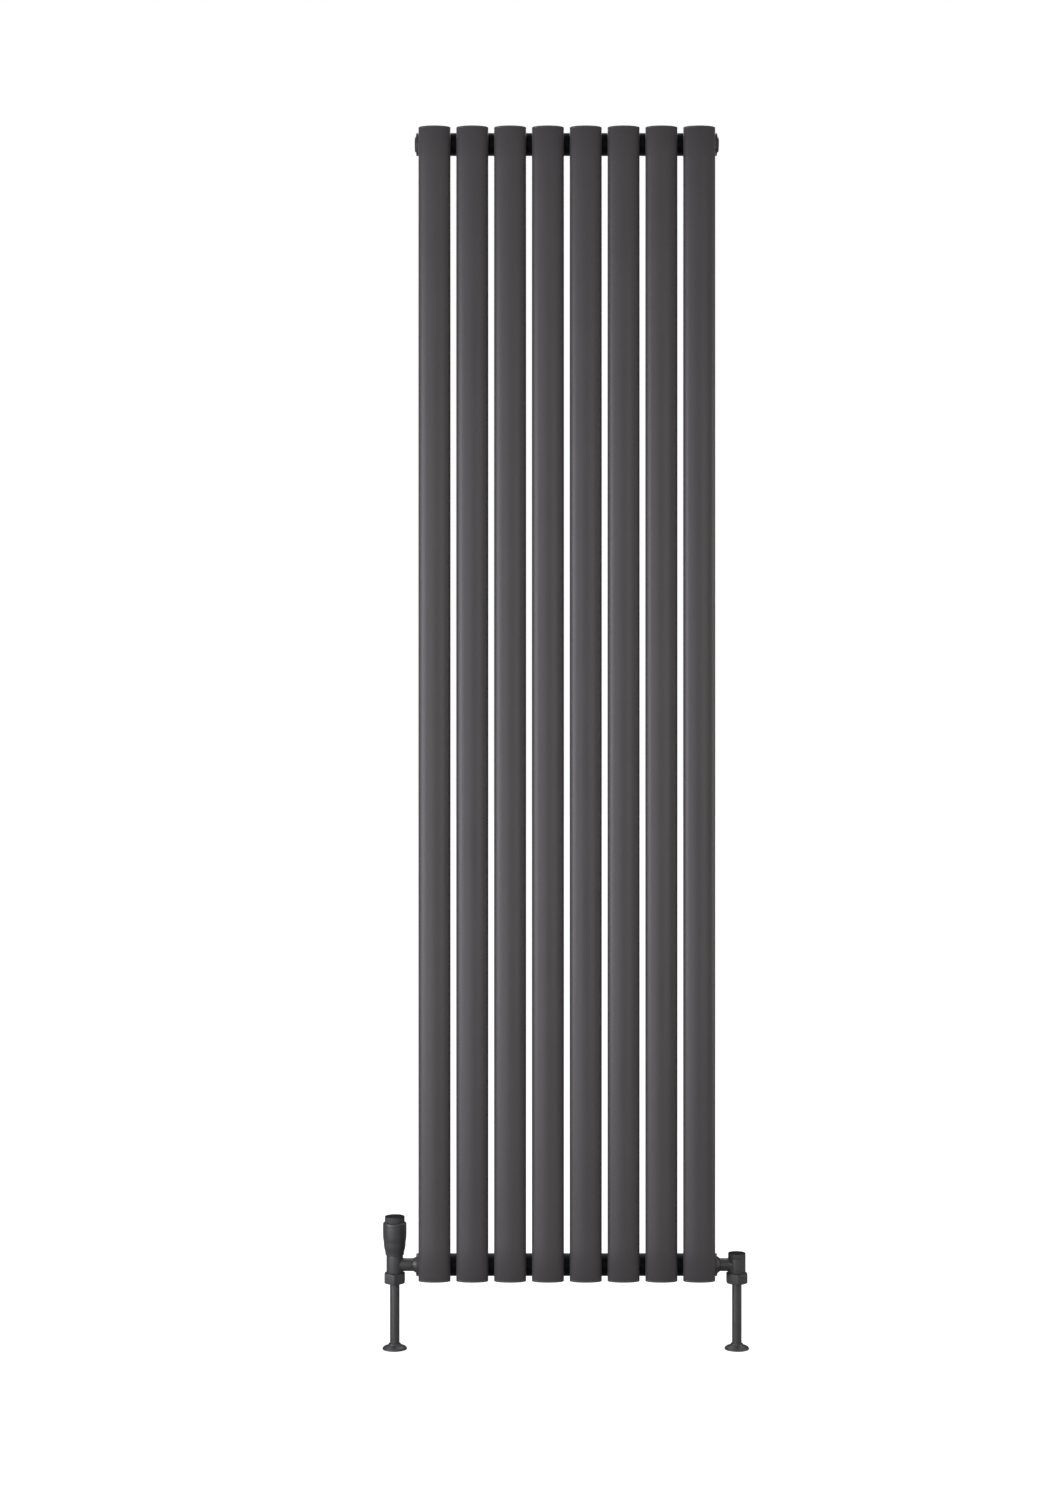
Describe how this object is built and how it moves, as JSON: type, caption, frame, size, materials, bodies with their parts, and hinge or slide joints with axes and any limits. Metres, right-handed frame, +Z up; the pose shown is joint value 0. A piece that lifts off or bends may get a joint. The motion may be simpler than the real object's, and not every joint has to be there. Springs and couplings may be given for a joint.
{
  "type": "radiator with valve",
  "caption": "Tall wall radiator of upright oval tubes with a thermostatic valve, a lockshield valve and pipe tails.",
  "frame": {"origin": "on the wall, at the centre of the outer rectangle of wall screw holes", "axes": "+X to the right seen from the room, +Y into the wall, +Z up along the tubes"},
  "size_m": [0.5761, 0.082, 1.9525],
  "materials": {
    "anthracite_coat": "satin powder coat",
    "valve_coat": "satin anthracite plating",
    "head_shell": "satin anthracite lacquer",
    "head_plastic": "moulded matt black",
    "brass": "turned",
    "bare_steel": "zinc plated",
    "sensor_metal": "drawn",
    "black_rubber": "moulded"
  },
  "bodies": {
    "radiator_frame": {"blanking_plug": "anthracite_coat", "blanking_plug_seal": "black_rubber", "boss_lower_left": "anthracite_coat", "boss_lower_right": "anthracite_coat", "boss_upper_left": "anthracite_coat", "boss_upper_right": "anthracite_coat", "bracket_bolts": "bare_steel", "bracket_nuts": "bare_steel", "bracket_washers": "bare_steel", "hanging_lugs": "anthracite_coat", "lower_header": "anthracite_coat", "ls_body": "valve_coat", "ls_bonnet": "brass", "ls_compression_nut": "valve_coat", "ls_olive": "brass", "ls_spindle_seal": "black_rubber", "ls_tail": "brass", "ls_tail_collar": "valve_coat", "ls_tail_seal": "black_rubber", "return_pipe": "valve_coat", "supply_pipe": "valve_coat", "trv_body": "valve_coat", "trv_bonnet": "brass", "trv_compression_nut": "valve_coat", "trv_gland_seal": "black_rubber", "trv_head_base": "head_plastic", "trv_olive": "brass", "trv_return_spring": "bare_steel", "trv_tail": "brass", "trv_tail_collar": "valve_coat", "trv_tail_seal": "black_rubber", "tube_1": "anthracite_coat", "tube_2": "anthracite_coat", "tube_3": "anthracite_coat", "tube_4": "anthracite_coat", "tube_5": "anthracite_coat", "tube_6": "anthracite_coat", "tube_7": "anthracite_coat", "tube_8": "anthracite_coat", "tube_end_caps": "anthracite_coat", "upper_header": "anthracite_coat", "vent_plug": "anthracite_coat", "vent_plug_seal": "black_rubber", "wall_bracket_lower_left": "anthracite_coat", "wall_bracket_lower_right": "anthracite_coat", "wall_bracket_upper_left": "anthracite_coat", "wall_bracket_upper_right": "anthracite_coat"},
    "sensor_carriage": {"trv_sensor": "sensor_metal", "trv_spindle": "bare_steel", "trv_plug_washer": "black_rubber"},
    "handwheel": {"trv_handwheel": "head_shell", "trv_top_cap": "head_shell"},
    "lockshield_cap": {"ls_cap": "valve_coat"},
    "lockshield_disc": {"ls_disc": "brass"},
    "lockshield_stem": {"ls_spindle": "brass"},
    "bleed_seal": {"bleed_screw_seal": "black_rubber"},
    "bleed_stem": {"bleed_screw": "brass"},
    "nozzle": {"vent_nozzle": "head_plastic"},
    "left_floor_rose": {"floor_collar_left": "valve_coat"},
    "right_floor_rose": {"floor_collar_right": "valve_coat"}
  },
  "joints": [
    {"name": "sensor_lift", "type": "slide", "parent": "radiator_frame", "child": "sensor_carriage", "axis": [0, 0, 1], "range_m": [-0.0012, 0.0012], "deforming": ["trv_return_spring"]},
    {"name": "handwheel_turn", "type": "hinge", "parent": "sensor_carriage", "child": "handwheel", "pos_m": [-0.27, -0.043, -0.84], "axis": [0, 0, 1], "range_deg": [-150, 150]},
    {"name": "lockshield_cap_lift", "type": "slide", "parent": "radiator_frame", "child": "lockshield_cap", "axis": [0, 0, 1], "range_m": [0, 0.03]},
    {"name": "lockshield_disc_lift", "type": "slide", "parent": "radiator_frame", "child": "lockshield_disc", "axis": [0, 0, 1], "range_m": [-0.0012, 0.0015]},
    {"name": "lockshield_stem_turn", "type": "hinge", "parent": "lockshield_disc", "child": "lockshield_stem", "pos_m": [0.2675, -0.043, -0.88], "axis": [0, 0, 1], "range_deg": [-432, 540]},
    {"name": "bleed_seal_slide", "type": "slide", "parent": "radiator_frame", "child": "bleed_seal", "axis": [1, 0, 0], "range_m": [0, 0.0008]},
    {"name": "bleed_screw_turn", "type": "hinge", "parent": "bleed_seal", "child": "bleed_stem", "pos_m": [0.236, -0.043, 0.88], "axis": [1, 0, 0], "range_deg": [0, 360]},
    {"name": "vent_nozzle_turn", "type": "hinge", "parent": "radiator_frame", "child": "nozzle", "pos_m": [0.236, -0.043, 0.88], "axis": [1, 0, 0], "continuous": true},
    {"name": "left_rose_slide", "type": "slide", "parent": "radiator_frame", "child": "left_floor_rose", "axis": [0, 0, 1], "range_m": [0, 0.09]},
    {"name": "right_rose_slide", "type": "slide", "parent": "radiator_frame", "child": "right_floor_rose", "axis": [0, 0, 1], "range_m": [0, 0.09]}
  ],
  "couplings": [
    {"joint": "sensor_lift", "follows": "handwheel_turn", "m_per_rad": 0.000458},
    {"joint": "lockshield_stem_turn", "follows": "lockshield_disc_lift", "rad_per_m": 6283.2},
    {"joint": "bleed_screw_turn", "follows": "bleed_seal_slide", "rad_per_m": 7854}
  ]
}
